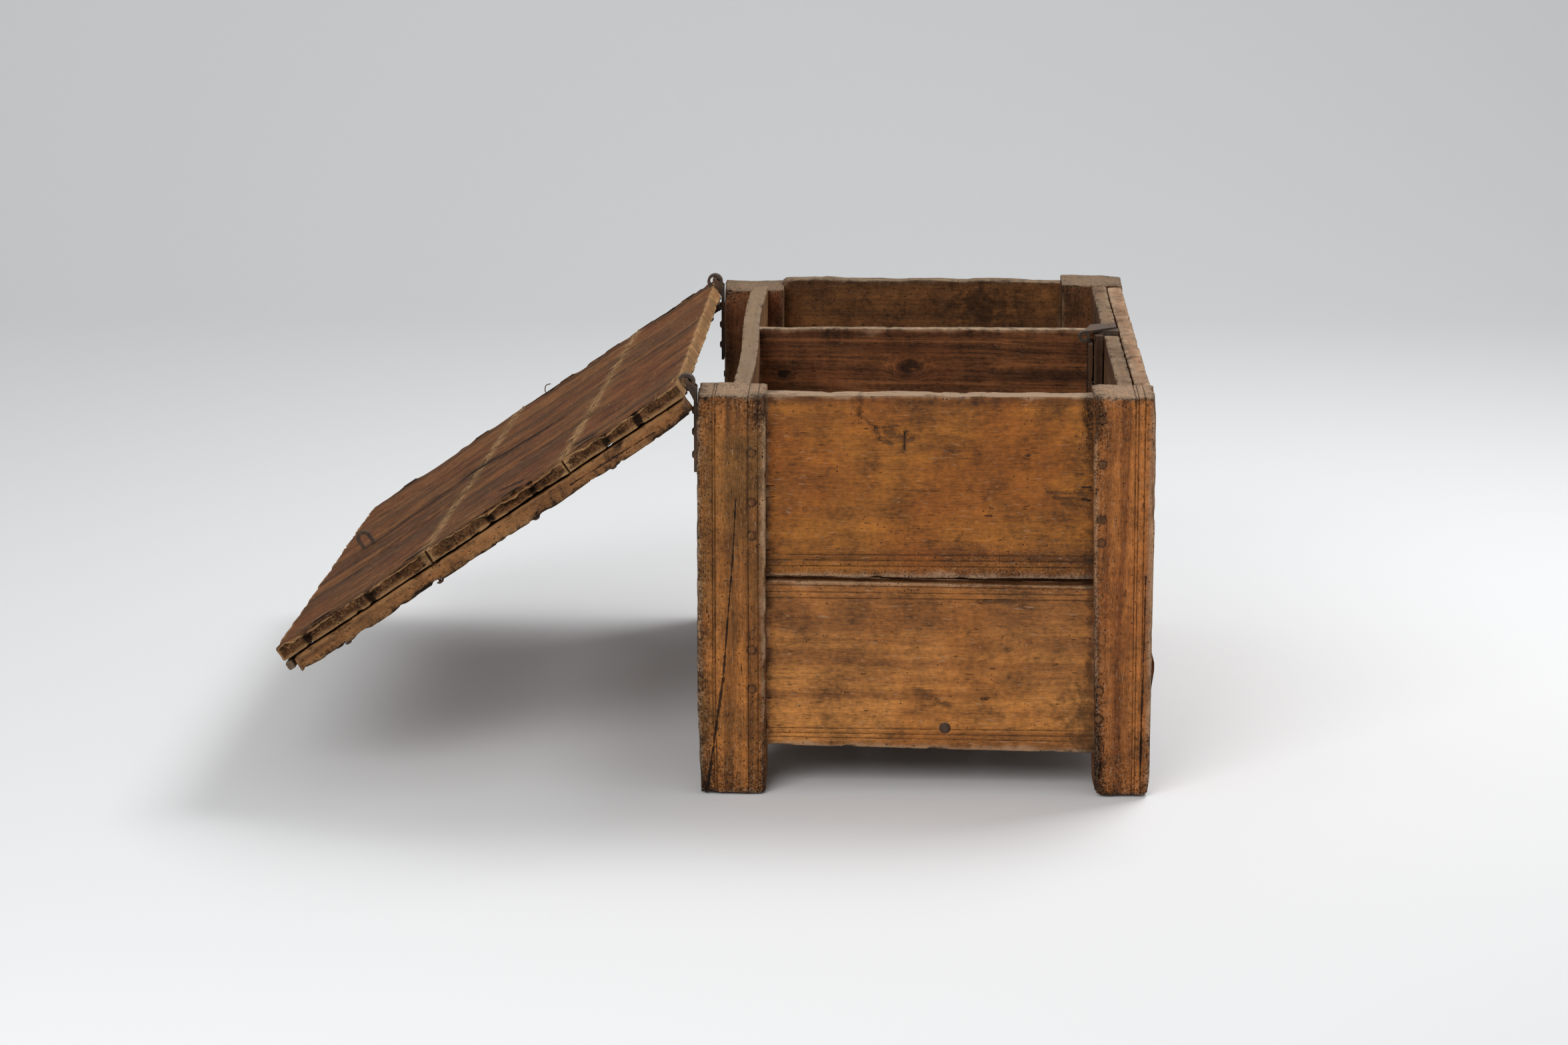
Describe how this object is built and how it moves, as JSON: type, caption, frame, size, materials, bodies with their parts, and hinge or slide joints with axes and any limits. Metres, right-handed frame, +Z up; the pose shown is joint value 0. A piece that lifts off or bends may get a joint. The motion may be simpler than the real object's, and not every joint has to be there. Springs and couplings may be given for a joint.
{
  "type": "cassone",
  "caption": "Low plank-built wooden cassone on corner posts, with a loop-hinged lid hanging open behind it, a divider and an iron lock.",
  "frame": {"origin": "floor level, below the middle of the bounding box with the lid open as stored", "axes": "+Z up; +X towards the front, where the lock is; +Y along the chest, from its near end to its far end"},
  "size_m": [1.1644, 1.0464, 0.5604],
  "materials": {
    "post_wood": "old, dry, worn and waxed softwood",
    "end_wood": "old, dry, worn and waxed softwood",
    "back_wood": "old, dry, worn and waxed softwood",
    "front_wood": "old, dry, worn and waxed softwood",
    "moulding_wood": "old, dry, worn and waxed softwood",
    "floor_wood": "old, dry, worn and waxed softwood",
    "divider_wood": "old, dry, worn and waxed softwood",
    "peg_wood": "old, dry, worn and waxed softwood",
    "lock_case_wood": "old, dry, worn and waxed softwood",
    "lid_wood": "old, dry, worn and waxed softwood",
    "batten_wood": "old, dry, worn and waxed softwood",
    "nosing_wood": "old, dry, worn and waxed softwood",
    "iron": "forged, rusted and rubbed dark",
    "nail_iron": "forged, rusted and rubbed dark"
  },
  "bodies": {
    "chest": {"near_back_post": "post_wood", "near_front_post": "post_wood", "far_back_post": "post_wood", "far_front_post": "post_wood", "near_end_lower_board": "end_wood", "near_end_upper_board": "end_wood", "far_end_lower_board": "end_wood", "far_end_upper_board": "end_wood", "back_lower_board": "back_wood", "back_upper_board": "back_wood", "front_inner_lower_board": "front_wood", "front_inner_upper_board": "front_wood", "front_outer_lower_board": "front_wood", "front_outer_upper_board": "front_wood", "front_moulding": "moulding_wood", "back_floor_board": "floor_wood", "middle_floor_board": "floor_wood", "front_floor_board": "floor_wood", "near_floor_cleat": "floor_wood", "middle_floor_cleat": "floor_wood", "far_floor_cleat": "floor_wood", "divider_board": "divider_wood", "near_end_pegs": "peg_wood", "far_end_pegs": "peg_wood", "back_board_pegs": "peg_wood", "front_board_pegs": "peg_wood", "lock_cheek": "lock_case_wood", "lock_cover": "lock_case_wood", "lock_base": "lock_case_wood", "near_chest_hinge": "iron", "far_chest_hinge": "iron", "lock_body": "iron", "lock_plate": "iron", "key_plate": "iron", "floor_nails": "nail_iron", "front_nails": "nail_iron", "moulding_nails": "nail_iron", "hinge_nails": "nail_iron", "lock_nails": "nail_iron"},
    "lid": {"back_lid_board": "lid_wood", "middle_lid_board": "lid_wood", "front_lid_board": "lid_wood", "near_lid_batten": "batten_wood", "far_lid_batten": "batten_wood", "lid_nosing": "nosing_wood", "near_lid_strap": "iron", "far_lid_strap": "iron", "lid_staple": "iron", "lid_dowels": "peg_wood", "lid_strap_nails": "nail_iron", "batten_nails": "nail_iron", "nosing_nails": "nail_iron"},
    "bolt": {"lock_bolt": "iron"}
  },
  "joints": [
    {"name": "lid_hinge", "type": "hinge", "parent": "chest", "child": "lid", "pos_m": [-0.0402, -0.44734, 0.552], "axis": [0, 0.9999, -0.0156], "range_deg": [0, 214]},
    {"name": "bolt_slide", "type": "slide", "parent": "chest", "child": "bolt", "axis": [0, -1, 0], "range_m": [0, 0.013]}
  ]
}
